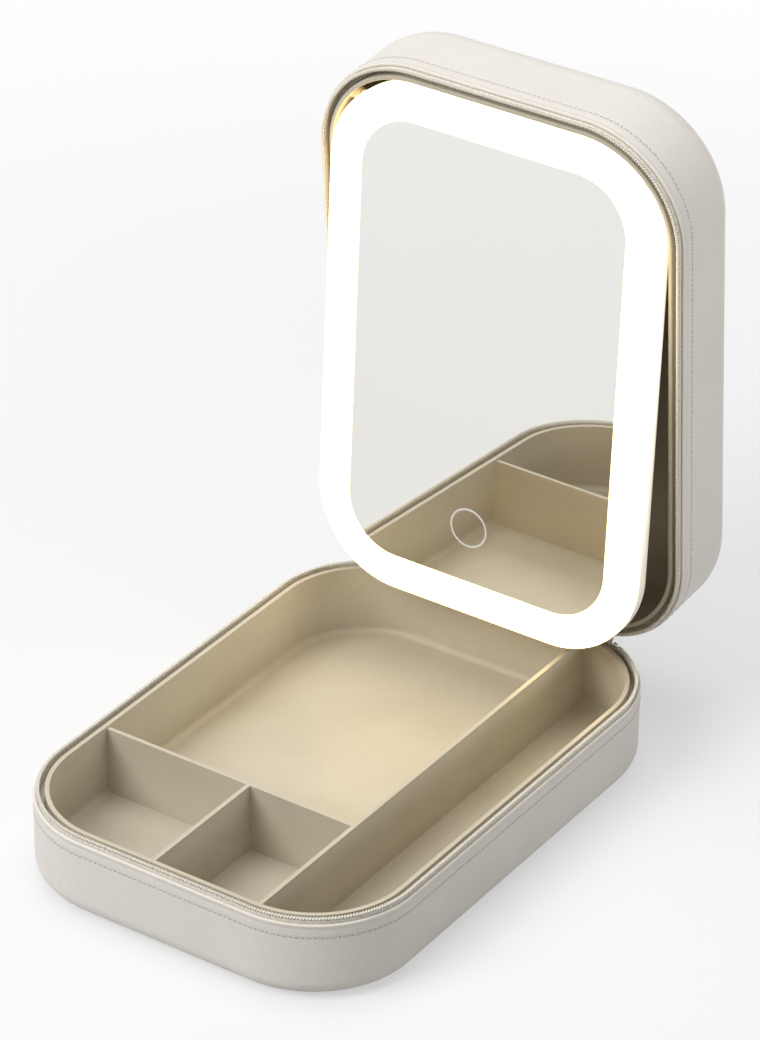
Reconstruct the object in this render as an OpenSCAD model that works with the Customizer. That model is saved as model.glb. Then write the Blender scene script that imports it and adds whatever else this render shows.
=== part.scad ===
// Portable vanity case: a zipped clamshell with a divided tray and a lit, tilting mirror in its lid.
// Millimetres. +X to the right and +Y to the back as the user sits in front of it, +Z up.
// The origin is the centre of the base's flat underside. Lid parts are drawn shut, then opened.

/* [Case] */
// Width across the leather
case_w = 170; // [160:1:190]
// Length, front to back, across the leather
case_l = 243; // [230:1:260]
// Corner radius seen from above
corner_r = 45.5; // [43:0.5:52]
// Height of the base's leather edge above the table
base_h = 34; // [31:0.5:44]
// Height of the lid's leather, edge to top
lid_h = 40; // [36:0.5:52]
// Rounding of the base's bottom edge
base_edge_r = 8; // [6.5:0.5:10]
// Rounding of the lid's outer edge
lid_edge_r = 14; // [10:0.5:15]
// Thickness of the leather cover
leather_t = 1.2; // [0.8:0.1:1.4]
// Thickness of the stiff board under the leather
board_t = 2.1; // [1.6:0.1:2.3]
// Height of the zip's band between the two leather edges, case shut
seam_gap = 7.2; // [6.8:0.1:8.4]
// How far the lid stands open
open_angle = 85.5; // [75:0.5:90]

/* [Trays] */
// From the leather's outer face to the tray wall's outer face
tray_inset = 4.6; // [4.4:0.1:5.4]
// Thickness of the tray walls
tray_wall = 1.8; // [1.4:0.1:2.2]
// Thickness of the tray floors
tray_floor = 1.6; // [1.2:0.1:2.4]
// How much softer the trays' feet are rounded than the case's edges round them
foot_ease = 1; // [0:0.25:1.5]
// Base tray's rim below the seam's middle
base_rim_drop = 1.4; // [1.2:0.1:3]
// Lid tray's rim above the seam's middle
lid_rim_rise = 1.2; // [0.8:0.1:2]
// Thickness of the dividers
divider_t = 1.8; // [1.2:0.1:2.4]
// Divider tops below the rim
divider_drop = 1; // [0.8:0.1:3]
// Depth of the two front compartments
front_bay_l = 63.4; // [50:0.2:75]
// Width of the long compartment on the right
side_bay_w = 37; // [28:0.5:45]
// Width of the left front compartment
left_bay_w = 68.4; // [55:0.2:80]

/* [Zip] */
// Thickness of the zip's tape
tape_t = 0.8; // [0.5:0.1:1]
// How far the tape is tucked behind the leather
tape_tuck = 4; // [3:0.5:6]
// Thickness of the coil, across the wall
coil_t = 1.6; // [1.2:0.1:1.8]
// Height of each half's coil
coil_h = 1.4; // [1:0.1:1.8]
// Half of the slit between the two coils, case shut
coil_slit = 0.3; // [0.2:0.05:0.5]
// Where the tapes end, round the back corners
tape_end = 84; // [74:1:84]
// Where the base's coil ends
coil_end = 66; // [65:0.5:68]
// Where the lid's coil ends
lid_coil_end = 49; // [40:1:50]
// Where the slider is parked, round the left back corner
slider_angle = 58; // [57:0.5:59]
// Length of the slider along the zip
slider_l = 8; // [7:0.5:9]
// Radius of the pin that a pull hangs from
bail_r = 0.6; // [0.5:0.05:0.7]
// Length of a pull, pin to tip
pull_l = 25; // [20:1:28]
// Thickness of the pull's heavy end
pull_end_t = 3; // [2:0.25:3.5]

/* [Hinge] */
// Outer radius of the hinge barrels
barrel_r = 1.8; // [1.7:0.05:2]
// Radius of the hinge pins
hinge_pin_r = 0.9; // [0.8:0.05:1]
// Length of each hinge
hinge_l = 26; // [20:1:30]
// Middle of each hinge from the case's middle
hinge_x = 24; // [20:1:28]
// Thickness of the hinge leaves
leaf_t = 0.8; // [0.6:0.1:0.9]
// Height of a leaf from the pin's axis
leaf_h = 10; // [9:0.5:12]
// Radius of the rivets
rivet_r = 1; // [0.8:0.1:1.2]
// Thickness of the leather spine
spine_t = 0.8; // [0.6:0.1:0.9]
// How far the spine reaches round the back corners
spine_over = 3; // [1:0.5:3]

/* [Mirror panel] */
// Gap at the panel's sides, inside the lid tray
panel_side_gap = 1.6; // [1.3:0.1:4]
// Gap at the panel's near edge, by the hinge
panel_near_gap = 1.6; // [1.3:0.1:4]
// Gap at the panel's far edge
panel_far_gap = 2.6; // [1.5:0.1:5]
// Thickness of the panel
panel_t = 10; // [9.8:0.2:12]
// Width of the lit band
band_w = 15; // [13:0.5:17]
// Corner radius of the mirror inside the band
band_r = 24; // [20:0.5:28]
// Thickness of the mirror glass
glass_t = 2; // [1.6:0.1:2.2]
// Thickness of the panel's back cover
shell_t = 1.6; // [1.2:0.1:1.8]
// Rounding of the panel's back edge
panel_edge_r = 3; // [2:0.25:3.5]
// How far the mirror leans out of the lid
mirror_tilt = 7; // [0:0.5:8]
// Mirror pivot from the panel's far edge
pivot_in = 12.5; // [12:0.25:14]
// Radius of the pivot pins
pivot_r = 1.2; // [1:0.1:1.3]
// Radius of the touch switch's ring
touch_r = 8.8; // [7:0.2:10]
// Touch ring's middle from the mirror's bottom edge
touch_up = 25; // [20:1:35]
// Touch ring's middle from the panel's middle line
touch_x = -3; // [-6:0.5:6]

/* [Fits] */
// Gap between nested skins
skin_gap = 0.15; // [0.1:0.05:0.25]
// Radial gap between a turning pin and its bore
pin_gap = 0.05; // [0.03:0.01:0.08]

/* [Hidden] */
$fn = 64;
EPS = 0.01;
TURN = 360;

// Heights with the case shut
seam_z = base_h + seam_gap / 2;
lid_edge_z = base_h + seam_gap;
lid_top_z = lid_edge_z + lid_h;
base_rim_z = seam_z - base_rim_drop;
lid_rim_z = seam_z + lid_rim_rise;
tray_z = leather_t + board_t;
divider_top = base_rim_z - divider_drop;

// Inside of the trays' walls, from the middle
tray_half_w = case_w / 2 - tray_inset - tray_wall;
tray_half_l = case_l / 2 - tray_inset - tray_wall;
tray_in_r = corner_r - tray_inset - tray_wall;
base_foot_r = base_edge_r - tray_inset + foot_ease;
lid_foot_r = lid_edge_r - tray_inset + foot_ease;
long_divider_x = tray_half_w - side_bay_w - divider_t / 2;
cross_divider_y = front_bay_l - tray_half_l + divider_t / 2;
short_divider_x = left_bay_w - tray_half_w + divider_t / 2;

// Zip, measured inwards from the leather's outer face
tape_in = leather_t + skin_gap;
tape_z = base_h - tape_tuck;
coil_z = seam_z - coil_slit - coil_h;
coil_mid = tape_in + tape_t / 2;
slider_gap = 0.15;
slider_t = 1.1;
strap_t = 1;
pull_w = 2.8;
pull_end_r = 3;
eye_wall = 0.7;
eye_gap = 0.3;
eye_r = bail_r + pin_gap + eye_wall;
bail_out = slider_gap + slider_t + eye_gap + eye_r;
bail_z = seam_z - 1.2;

// Hinge line
hinge_in = tray_inset - barrel_r;
hinge_y = case_l / 2 - hinge_in;
hinge_z = seam_z;
knuckle_gap = 0.2;
mid_knuckle = 8;
rivet_drop = leaf_h - 3.2;
rivet_step = hinge_l / 2 - 4.5;
rivet_head_r = 1.8;
rivet_head_t = 0.6;

// Mirror panel, shut and folded flush
panel_rise = 0.3;
panel_w = 2 * (tray_half_w - panel_side_gap);
panel_l = 2 * tray_half_l - panel_near_gap - panel_far_gap;
panel_r = tray_in_r;
panel_shift = (panel_far_gap - panel_near_gap) / 2;
face_z = seam_z + panel_rise;
back_z = face_z + panel_t;
panel_far = panel_shift - panel_l / 2;
panel_near = panel_shift + panel_l / 2;
pivot_y = panel_far + pivot_in;
ledge_t = 1;
diffuser_t = glass_t + ledge_t;
ledge_w = 3;
cover_z = face_z + diffuser_t;
cover_floor_z = back_z - shell_t;
carrier_t = 1.2;
carrier_back_z = cover_z + carrier_t;
mirror_w = panel_w - 2 * band_w;
mirror_l = panel_l - 2 * band_w;
mirror_gap = 0.1;
boss_r = 2.5;
spot_r = boss_r + 0.5;
spot_skin = 0.2;
pivot_z = cover_z + spot_skin + spot_r;
washer_t = 1.3;
// Half width of the panel at a given distance from its middle line, in the corner
function panel_half(y) = panel_w / 2 - panel_r
    + sqrt(panel_r * panel_r - pow(abs(y - panel_shift) - (panel_l / 2 - panel_r), 2));
spot_x = panel_half(pivot_y) - 1.2;
boss_x = spot_x + washer_t + 0.1;
pin_in_x = spot_x - 4.5;
pin_out_x = boss_x + 4;
strip_in = 9.2;
strip_w = 4;
strip_t = 0.4;
led = [3.4, 2.6, 0.7];
led_pitch = 12;
screw_edge = 20;
screw_row = 60;
screw_r = 0.75;
screw_head_r = 1.9;
screw_head_h = 1.1;
pillar_r = 2.6;
battery = [48, 72, 4];
board = [52, 30, 1];
board_y = 48;
port_board = [16, strip_in - panel_edge_r - skin_gap, 1];
port = [9, 7.3, 3.2];
port_gap = 0.3;
stop_l = 2;
stop_angle = 2.2;
tongue = [6.6, 0.7, 4.5];
lead_r = 0.4;
lead_gap = 0.05;
lead_run = 1;
port_lead_x = 6.5;
battery_lead_x = 4;
chip_at = [[-16, 4], [-2, -4], [12, 3]];
chip_size = [[6, 6, 1.2], [5, 4, 1], [8, 5, 1.4]];
battery_near = 20;

// ---- Placing ----

// Opens what is drawn shut, about the hinge line
module opened() {
    translate([0, hinge_y, hinge_z])
        rotate([-open_angle, 0, 0])
            translate([0, -hinge_y, -hinge_z])
                children();
}

// Tilts the mirror panel out of the lid, about its pivot pins
module tilted() {
    translate([0, pivot_y, pivot_z])
        rotate([-mirror_tilt, 0, 0])
            translate([0, -pivot_y, -pivot_z])
                children();
}

module panel_placed() {
    opened() tilted() children();
}

// Turns a base part upside down about the seam, for its twin in the lid
module flipped() {
    translate([0, 0, 2 * seam_z])
        mirror([0, 0, 1])
            children();
}

module both_sides() {
    children();
    mirror([1, 0, 0]) children();
}

// ---- Outlines and sweeps ----

module rounded(w, l, r) {
    square([w - 2 * r, l], center = true);
    square([w, l - 2 * r], center = true);
    for (sx = [-1, 1], sy = [-1, 1])
        translate([sx * (w / 2 - r), sy * (l / 2 - r)])
            circle(r);
}

// Sweeps a profile round a rounded rectangle. In the profile x = 0 is the outer face and -x is inwards.
// back_angle under 90 stops the sweep in the two back corners and leaves the back open.
module around(w, l, r, back_angle = 90) {
    both_sides() {
        translate([w / 2 - r, l / 2 - r, 0])
            rotate_extrude(angle = back_angle) translate([r, 0]) children();
        translate([w / 2 - r, r - l / 2, 0])
            rotate([0, 0, -90])
                rotate_extrude(angle = 90) translate([r, 0]) children();
        translate([w / 2, l / 2 - r, 0])
            rotate([90, 0, 0])
                linear_extrude(l - 2 * r) children();
    }
    mirror([0, 1, 0]) along_x(w - 2 * r, l / 2) children();
    if (back_angle == 90) along_x(w - 2 * r, l / 2) children();
}

// Runs a profile along X at the given distance back
module along_x(length, back) {
    translate([-length / 2, back, 0])
        rotate([90, 0, 90])
            linear_extrude(length) children();
}

// Wall profile with a rounded foot, from the foot's start inwards to x = 0
module foot_region(h, r) {
    intersection() {
        translate([-r, 0]) square([r, h]);
        union() {
            translate([-r, r]) circle(r);
            translate([-r, r]) square([r, h]);
        }
    }
}

module wall_profile(h, foot_r, wall, floor_t) {
    difference() {
        foot_region(h, foot_r);
        translate([-wall, floor_t]) foot_region(h, foot_r - wall);
    }
}

// Open pan with its floor at z = 0
module pan(w, l, r, h, foot_r, wall, floor_t) {
    around(w, l, r) wall_profile(h, foot_r, wall, floor_t);
    linear_extrude(floor_t) rounded(w - 2 * foot_r, l - 2 * foot_r, r - foot_r);
}

// Pan whose outer wall lies the given distance inside the leather's outer face
module case_pan(inset, h, foot_r, wall, floor_t) {
    pan(case_w - 2 * inset, case_l - 2 * inset, corner_r - inset, h, foot_r, wall, floor_t);
}

// Band that follows the case's outline, from inset a to inset a + t and from z0 to z1
module case_band(a, t, z0, z1, back_angle = 90) {
    around(case_w, case_l, corner_r, back_angle)
        translate([-a - t, z0]) square([t, z1 - z0]);
}

// ---- Base ----

module base_cover() {
    color("#e4dfda") case_pan(0, base_h, base_edge_r, leather_t, leather_t);
}

module base_board() {
    inset = leather_t + skin_gap;
    color("#8d8a86")
        translate([0, 0, leather_t])
            case_pan(inset, tape_z - leather_t, base_edge_r - inset, board_t, board_t);
}

// Upright divider between two points, from the tray's floor to the dividers' top
module divider(x0, y0, x1, y1) {
    translate([x0, y0, tray_z + tray_floor / 2])
        cube([x1 - x0, y1 - y0, divider_top - tray_z - tray_floor / 2]);
}

module tray_dividers() {
    reach_x = case_w / 2 - tray_inset - tray_wall / 2;
    reach_y = case_l / 2 - tray_inset - tray_wall / 2;
    half = divider_t / 2;
    intersection() {
        translate([0, 0, tray_z])
            linear_extrude(base_rim_z - tray_z)
                rounded(2 * reach_x, 2 * reach_y, corner_r - tray_inset - tray_wall / 2);
        union() {
            divider(long_divider_x - half, -reach_y, long_divider_x + half, reach_y);
            divider(-reach_x, cross_divider_y - half, long_divider_x, cross_divider_y + half);
            divider(short_divider_x - half, -reach_y, short_divider_x + half, cross_divider_y);
        }
    }
}

module rivet_holes() {
    both_sides() at_rivets()
        cylinder(r = rivet_r + pin_gap, h = tray_inset + 2 * tray_wall);
}

module base_tray() {
    color("#b3a78d")
        difference() {
            union() {
                translate([0, 0, tray_z])
                    case_pan(tray_inset, base_rim_z - tray_z, base_foot_r, tray_wall, tray_floor);
                tray_dividers();
            }
            rivet_holes();
        }
}

module base_zip_tape() {
    color("#d9d3cb") case_band(tape_in, tape_t, tape_z, coil_z, tape_end);
}

module base_zip_teeth() {
    color("#cdc6bb") case_band(coil_mid - coil_t / 2, coil_t, coil_z, coil_z + coil_h, coil_end);
}

// Places a part in the right back corner's own frame: +X outwards, origin on the leather's outer face
module at_corner(angle) {
    translate([case_w / 2 - corner_r, case_l / 2 - corner_r, 0])
        rotate([0, 0, angle])
            translate([corner_r, 0, 0])
                children();
}

// Small metal clamps on the tape, past the end of the coil
module zip_stops() {
    color("#b9b4ad")
        both_sides() at_corner(coil_end + stop_angle)
            translate([-tape_in - tape_t - skin_gap, -stop_l / 2, coil_z + EPS])
                cube([tape_t + 2 * skin_gap, stop_l, coil_h]);
}

// Slider body round both coils, with two ears and the pin for its pull
module slider_form() {
    half_h = seam_gap / 2 - 0.3;
    inner_t = 0.8;
    inner_in = coil_mid + coil_t / 2 + 0.25;
    inner_foot = 0.8;
    inner_head = 1.8;
    neck_l = 3;
    neck_h = 0.8;
    ear_t = 0.9;
    ear_h = 3.2;
    ear_y = pull_w / 2 + eye_gap + ear_t / 2;
    ear_out = bail_out - slider_gap - slider_t + bail_r + 0.2;
    color("#c9c5be") {
        translate([slider_gap, -slider_l / 2, seam_z - half_h])
            cube([slider_t, slider_l, 2 * half_h]);
        translate([-inner_in - inner_t, -slider_l / 2, seam_z - half_h + inner_foot])
            cube([inner_t, slider_l, 2 * half_h - inner_foot - inner_head]);
        translate([-inner_in - EPS, -neck_l / 2, seam_z - coil_slit + 0.1])
            cube([inner_in + slider_gap + 2 * EPS, neck_l, neck_h]);
        for (s = [-1, 1])
            translate([slider_gap + slider_t - EPS, s * ear_y - ear_t / 2, bail_z - ear_h / 2])
                cube([ear_out + EPS, ear_t, ear_h]);
        translate([bail_out, 0, bail_z])
            rotate([90, 0, 0])
                cylinder(r = bail_r, h = 2 * ear_y + EPS, center = true);
    }
}

module zip_slider() {
    mirror([1, 0, 0]) at_corner(slider_angle) slider_form();
}

// Pull: an eye on the slider's pin, a thin strap and a heavy rounded end
module pull_form() {
    color("#c9c5be")
        translate([bail_out, 0, bail_z])
            difference() {
                union() {
                    rotate([90, 0, 0]) cylinder(r = eye_r, h = pull_w, center = true);
                    translate([-strap_t / 2, -pull_w / 2, pull_end_r - pull_l])
                        cube([strap_t, pull_w, pull_l - pull_end_r]);
                    translate([0, 0, pull_end_r - pull_l])
                        rotate([0, 90, 0])
                            cylinder(r = pull_end_r, h = pull_end_t, center = true);
                }
                rotate([90, 0, 0]) cylinder(r = bail_r + pin_gap, h = 2 * pull_w, center = true);
            }
}

module zip_pull() {
    mirror([1, 0, 0]) at_corner(slider_angle) pull_form();
}

// ---- Hinges ----

// Places rivets through the right hinge's leaf and the tray wall; +Z runs forwards, through the wall
module at_rivets() {
    for (s = [-1, 1])
        translate([hinge_x + s * rivet_step, hinge_y + barrel_r + 1, hinge_z - rivet_drop])
            rotate([90, 0, 0])
                children();
}

// One leaf with the knuckles that fill the given stretches, bored for the pin
module hinge_leaf(stretches, bore_r, leaf_from) {
    difference() {
        union() {
            translate([-hinge_l / 2, -barrel_r, -leaf_h])
                cube([hinge_l, leaf_t, leaf_h - leaf_from]);
            for (s = stretches) {
                translate([s[0], 0, 0])
                    rotate([0, 90, 0])
                        cylinder(r = barrel_r, h = s[1] - s[0]);
                translate([s[0], -barrel_r, -leaf_from - EPS])
                    cube([s[1] - s[0], leaf_t, leaf_from + EPS]);
            }
        }
        translate([-hinge_l / 2 - 1, 0, 0])
            rotate([0, 90, 0])
                cylinder(r = bore_r, h = hinge_l + 2);
    }
}

module base_hinge_leaves() {
    m = mid_knuckle / 2 + knuckle_gap;
    e = hinge_l / 2;
    color("#b9b9bb")
        difference() {
            both_sides()
                translate([hinge_x, hinge_y, hinge_z])
                    hinge_leaf([[-e, -m], [m, e]], hinge_pin_r, barrel_r + knuckle_gap);
            rivet_holes();
        }
}

module lid_hinge_leaves() {
    m = mid_knuckle / 2;
    color("#b9b9bb")
        opened() flipped()
            difference() {
                both_sides()
                    translate([hinge_x, hinge_y, hinge_z])
                        hinge_leaf([[-m, m]], hinge_pin_r + pin_gap, barrel_r + knuckle_gap);
                rivet_holes();
            }
}

module hinge_pins() {
    color("#8f8f92")
        both_sides()
            translate([hinge_x - hinge_l / 2, hinge_y, hinge_z])
                rotate([0, 90, 0])
                    cylinder(r = hinge_pin_r, h = hinge_l);
}

// Rivets: flush in the leaf, with a low head inside the tray
module rivets() {
    wall_end = 1 + tray_wall + barrel_r * 2;
    both_sides() at_rivets() {
        translate([0, 0, 1 + 2 * barrel_r - leaf_t])
            cylinder(r = rivet_r, h = leaf_t + tray_wall + EPS);
        translate([0, 0, wall_end])
            cylinder(r = rivet_head_r, h = rivet_head_t);
    }
}

module base_rivets() {
    color("#a9a9ab") rivets();
}

module lid_rivets() {
    color("#a9a9ab") opened() flipped() rivets();
}

// Leather spine: tucked behind both covers and bent round the open hinge
module spine_flap() {
    spine_w = 2 * (case_w / 2 - corner_r + spine_over);
    leg_y = hinge_in - tape_in - spine_t / 2;
    bend_h = seam_gap / 2 - 0.2;
    bend_r = bend_h / tan(open_angle / 2) - leg_y;
    color("#dcd6d0") {
        translate([0, hinge_y, hinge_z]) {
            translate([-spine_w / 2, leg_y - spine_t / 2, -seam_gap / 2 - tape_tuck])
                cube([spine_w, spine_t, tape_tuck + seam_gap / 2 - bend_h]);
            rotate([-open_angle, 0, 0])
                translate([-spine_w / 2, leg_y - spine_t / 2, bend_h])
                    cube([spine_w, spine_t, tape_tuck + seam_gap / 2 - bend_h]);
            translate([0, leg_y + bend_r, -bend_h])
                rotate([90, 0, 90])
                    rotate([0, 0, 180 - open_angle])
                        rotate_extrude(angle = open_angle)
                            translate([bend_r - spine_t / 2, -spine_w / 2])
                                square([spine_t, spine_w]);
        }
    }
}

// ---- Lid, drawn shut ----

module lid_cover() {
    color("#e4dfda")
        opened()
            translate([0, 0, lid_top_z]) mirror([0, 0, 1])
                case_pan(0, lid_h, lid_edge_r, leather_t, leather_t);
}

module lid_board() {
    inset = leather_t + skin_gap;
    color("#8d8a86")
        opened()
            translate([0, 0, lid_top_z - leather_t]) mirror([0, 0, 1])
                case_pan(inset, lid_h - leather_t - tape_tuck, lid_edge_r - inset, board_t, board_t);
}

// Bosses in the lid tray's far corners carry the mirror's pivot pins
module pivot_bosses() {
    intersection() {
        both_sides()
            translate([boss_x, pivot_y, pivot_z])
                rotate([0, 90, 0])
                    cylinder(r = boss_r, h = case_w / 2);
        translate([0, 0, lid_rim_z])
            linear_extrude(lid_h)
                rounded(case_w - 2 * tray_inset - tray_wall, case_l - 2 * tray_inset - tray_wall,
                    corner_r - tray_inset - tray_wall / 2);
    }
}

module lid_tray() {
    depth = lid_top_z - tray_z - lid_rim_z;
    color("#b3a78d")
        opened()
            difference() {
                union() {
                    translate([0, 0, lid_top_z - tray_z]) mirror([0, 0, 1])
                        case_pan(tray_inset, depth, lid_foot_r, tray_wall, tray_floor);
                    pivot_bosses();
                }
                both_sides()
                    translate([boss_x - 1, pivot_y, pivot_z])
                        rotate([0, 90, 0])
                            cylinder(r = pivot_r + pin_gap, h = case_w / 2 - boss_x);
                flipped() rivet_holes();
            }
}

module lid_zip_tape() {
    color("#d9d3cb") opened() flipped() case_band(tape_in, tape_t, tape_z, coil_z, tape_end);
}

module lid_zip_teeth() {
    color("#cdc6bb")
        opened() flipped()
            case_band(coil_mid - coil_t / 2, coil_t, coil_z, coil_z + coil_h, lid_coil_end);
}

// ---- Mirror panel, drawn shut and folded flush ----

// Plate that follows the panel's outline, the given distance inside it, from z0 to z1
module panel_plate(inset, z0, z1) {
    translate([0, panel_shift, z0])
        linear_extrude(z1 - z0)
            rounded(panel_w - 2 * inset, panel_l - 2 * inset, panel_r - inset);
}

// Plate inside the lit band, the given distance inside the mirror's opening
module mirror_plate(inset, z0, z1) {
    translate([0, panel_shift, z0])
        linear_extrude(z1 - z0)
            rounded(mirror_w - 2 * inset, mirror_l - 2 * inset, band_r - inset);
}

module at_screws() {
    both_sides()
        for (s = [-1, 1])
            translate([panel_w / 2 - screw_edge, panel_shift + s * screw_row, 0])
                children();
    for (s = [-1, 1])
        translate([0, panel_shift + s * (panel_l / 2 - screw_edge), 0])
            children();
}

module mirror_back_cover() {
    color("#e9e9e7")
        panel_placed()
            difference() {
                union() {
                    translate([0, panel_shift, back_z]) mirror([0, 0, 1])
                        pan(panel_w, panel_l, panel_r, back_z - cover_z, panel_edge_r, shell_t, shell_t);
                    intersection() {
                        both_sides()
                            translate([pin_in_x, pivot_y, pivot_z])
                                rotate([0, 90, 0])
                                    cylinder(r = boss_r, h = spot_x - pin_in_x);
                        panel_plate(shell_t / 2, cover_z + 0.2, back_z - shell_t / 2);
                    }
                    at_screws()
                        translate([0, 0, carrier_back_z + 2.2])
                            cylinder(r = pillar_r, h = cover_floor_z - carrier_back_z - 2.2 + EPS);
                }
                both_sides()
                    translate([spot_x, pivot_y, pivot_z])
                        rotate([0, 90, 0])
                            cylinder(r = spot_r, h = panel_t);
                both_sides()
                    translate([pin_in_x - 1, pivot_y, pivot_z])
                        rotate([0, 90, 0])
                            cylinder(r = pivot_r, h = panel_t);
                at_screws() {
                    translate([0, 0, carrier_back_z])
                        cylinder(r = screw_r + 0.2, h = panel_t);
                    translate([0, 0, back_z - screw_head_h - 0.1])
                        cylinder(r = screw_head_r + 0.1, h = panel_t);
                }
                port_cut();
            }
}

// Slot in the panel's near edge for the charging port
module port_cut() {
    translate([-port.x / 2 - port_gap, panel_near - shell_t - 1, port_z() - port_gap])
        cube([port.x + 2 * port_gap, shell_t + 2, port.z + 2 * port_gap]);
}

function port_z() = cover_floor_z - port_board.z - port.z;

// Opal ring that carries the light; its ledge holds the mirror
module light_diffuser() {
    color("#fffdf6")
        panel_placed()
            difference() {
                panel_plate(0, face_z, cover_z);
                mirror_plate(0, face_z - 1, face_z + glass_t);
                mirror_plate(ledge_w, face_z, cover_z + 1);
            }
}

module touch_place() {
    translate([touch_x, panel_shift + mirror_l / 2 - touch_up, 0]) children();
}

module ring(r_out, r_in, h) {
    difference() {
        cylinder(r = r_out, h = h);
        translate([0, 0, -1]) cylinder(r = r_in, h = h + 2);
    }
}

ring_w = 0.8;
ring_depth = 0.3;

module mirror_glass() {
    color("#dfe3e4")
        panel_placed()
            difference() {
                mirror_plate(mirror_gap, face_z, face_z + glass_t);
                touch_place()
                    translate([0, 0, face_z - ring_depth])
                        ring(touch_r, touch_r - ring_w, 2 * ring_depth);
            }
}

module touch_ring() {
    color("white")
        panel_placed() touch_place()
            translate([0, 0, face_z])
                ring(touch_r, touch_r - ring_w, ring_depth);
}

module touch_pad() {
    color("#b87333")
        panel_placed() touch_place()
            translate([0, 0, face_z + glass_t])
                cylinder(r = touch_r - 1, h = 0.3);
}

// Foam sheet that fixes the mirror to its carrier
module mirror_foam() {
    color("#5b5b5b")
        panel_placed()
            difference() {
                mirror_plate(ledge_w + 0.5, face_z + glass_t, cover_z);
                touch_place()
                    translate([0, 0, face_z])
                        cylinder(r = touch_r, h = panel_t);
            }
}

module mirror_carrier() {
    color("#dcdcda")
        panel_placed()
            difference() {
                union() {
                    mirror_plate(0, cover_z, carrier_back_z);
                    at_screws()
                        translate([0, 0, carrier_back_z - EPS])
                            cylinder(r = pillar_r, h = 2.2 + EPS);
                }
                at_screws()
                    translate([0, 0, cover_z + 0.3])
                        cylinder(r = screw_r + pin_gap, h = panel_t);
                touch_place()
                    translate([0, 0, cover_z - 1])
                        cylinder(r = 2, h = panel_t);
            }
}

module panel_screws() {
    shank = back_z - screw_head_h - carrier_back_z + 0.6;
    color("#9a9a9c")
        panel_placed() at_screws()
            translate([0, 0, back_z - screw_head_h]) {
                cylinder(r = screw_head_r, h = screw_head_h - 0.1);
                translate([0, 0, -shank]) cylinder(r = screw_r, h = shank + EPS);
            }
}

module led_strip() {
    w = panel_w - 2 * strip_in;
    l = panel_l - 2 * strip_in;
    r = panel_r - strip_in;
    color("#f4f2ea")
        panel_placed()
            translate([0, panel_shift, cover_floor_z - strip_t])
                linear_extrude(strip_t)
                    difference() {
                        rounded(w, l, r);
                        rounded(w - 2 * strip_w, l - 2 * strip_w, r - strip_w);
                    }
}

// One light source, on the strip
module led_chip() {
    translate([-led.x / 2, -led.y / 2, cover_floor_z - strip_t - led.z]) cube(led);
}

module led_chips() {
    mid = strip_in + strip_w / 2;
    half_w = panel_w / 2 - mid;
    half_l = panel_l / 2 - mid;
    r = panel_r - mid;
    run_x = 2 * (half_w - r);
    run_y = 2 * (half_l - r);
    nx = floor(run_x / led_pitch);
    ny = floor(run_y / led_pitch);
    na = floor(r * 90 * PI / 180 / led_pitch);
    color("#fff1c4")
        panel_placed() translate([0, panel_shift, 0])
            both_sides() {
                for (i = [0 : ny])
                    translate([half_w, (i - ny / 2) * run_y / (ny + 1), 0])
                        rotate([0, 0, 90]) led_chip();
                for (s = [0, 1]) mirror([0, s, 0]) {
                    for (i = [0 : na])
                        translate([half_w - r, half_l - r, 0])
                            rotate([0, 0, (i + 0.5) * 90 / (na + 1)])
                                translate([r, 0, 0])
                                    rotate([0, 0, 90]) led_chip();
                    for (i = [0 : floor(nx / 2) - 1])
                        translate([(i + 0.5) * run_x / nx, half_l, 0]) led_chip();
                }
            }
}

module battery_pack() {
    color("#a8adb2")
        panel_placed()
            translate([-battery.x / 2, panel_shift - battery.y + battery_near, cover_floor_z - battery.z])
                cube(battery);
}

module control_board() {
    color("#2f6b46")
        panel_placed()
            translate([-board.x / 2, panel_shift + board_y - board.y / 2, cover_floor_z - board.z])
                cube(board);
}

module board_chips() {
    color("#222222")
        panel_placed()
            translate([0, panel_shift + board_y, cover_floor_z - board.z])
                for (i = [0:2])
                    translate([chip_at[i].x, chip_at[i].y, -chip_size[i].z]) cube(chip_size[i]);
}

module port_circuit() {
    color("#2f6b46")
        panel_placed()
            translate([-port_board.x / 2, panel_near - panel_edge_r - port_board.y, cover_floor_z - port_board.z])
                cube(port_board);
}

// Charging port: a hollow metal shell with a tongue
module usb_port() {
    wall = 0.35;
    r = port.z / 2;
    color("#c0c0c2")
        panel_placed()
            translate([0, panel_near - port.y - 0.3, port_z() + r])
                rotate([-90, 0, 0]) {
                    difference() {
                        linear_extrude(port.y) rounded(port.x, port.z, r - EPS);
                        translate([0, 0, 1])
                            linear_extrude(port.y)
                                rounded(port.x - 2 * wall, port.z - 2 * wall, r - wall - EPS);
                    }
                    translate([-tongue.x / 2, -tongue.y / 2, 1 - EPS]) cube(tongue);
                }
}

// Leads inside the panel: two from the port and two from the battery, to the control board
module panel_leads() {
    z = cover_floor_z - max(board.z, strip_t + led.z) - lead_r - lead_gap;
    board_near = panel_shift + board_y + board.y / 2 - lead_run;
    board_far = panel_shift + board_y - board.y / 2 + lead_run;
    port_end = panel_near - panel_edge_r - lead_run;
    battery_end = panel_shift + battery_near + lead_gap;
    color("#c0392b")
        panel_placed() {
            for (s = [-1, 1])
                translate([s * port_lead_x, board_near, z])
                    rotate([-90, 0, 0])
                        cylinder(r = lead_r, h = port_end - board_near);
            for (s = [-1, 1])
                translate([s * battery_lead_x, battery_end, z])
                    rotate([-90, 0, 0])
                        cylinder(r = lead_r, h = board_far - battery_end);
        }
}

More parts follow.
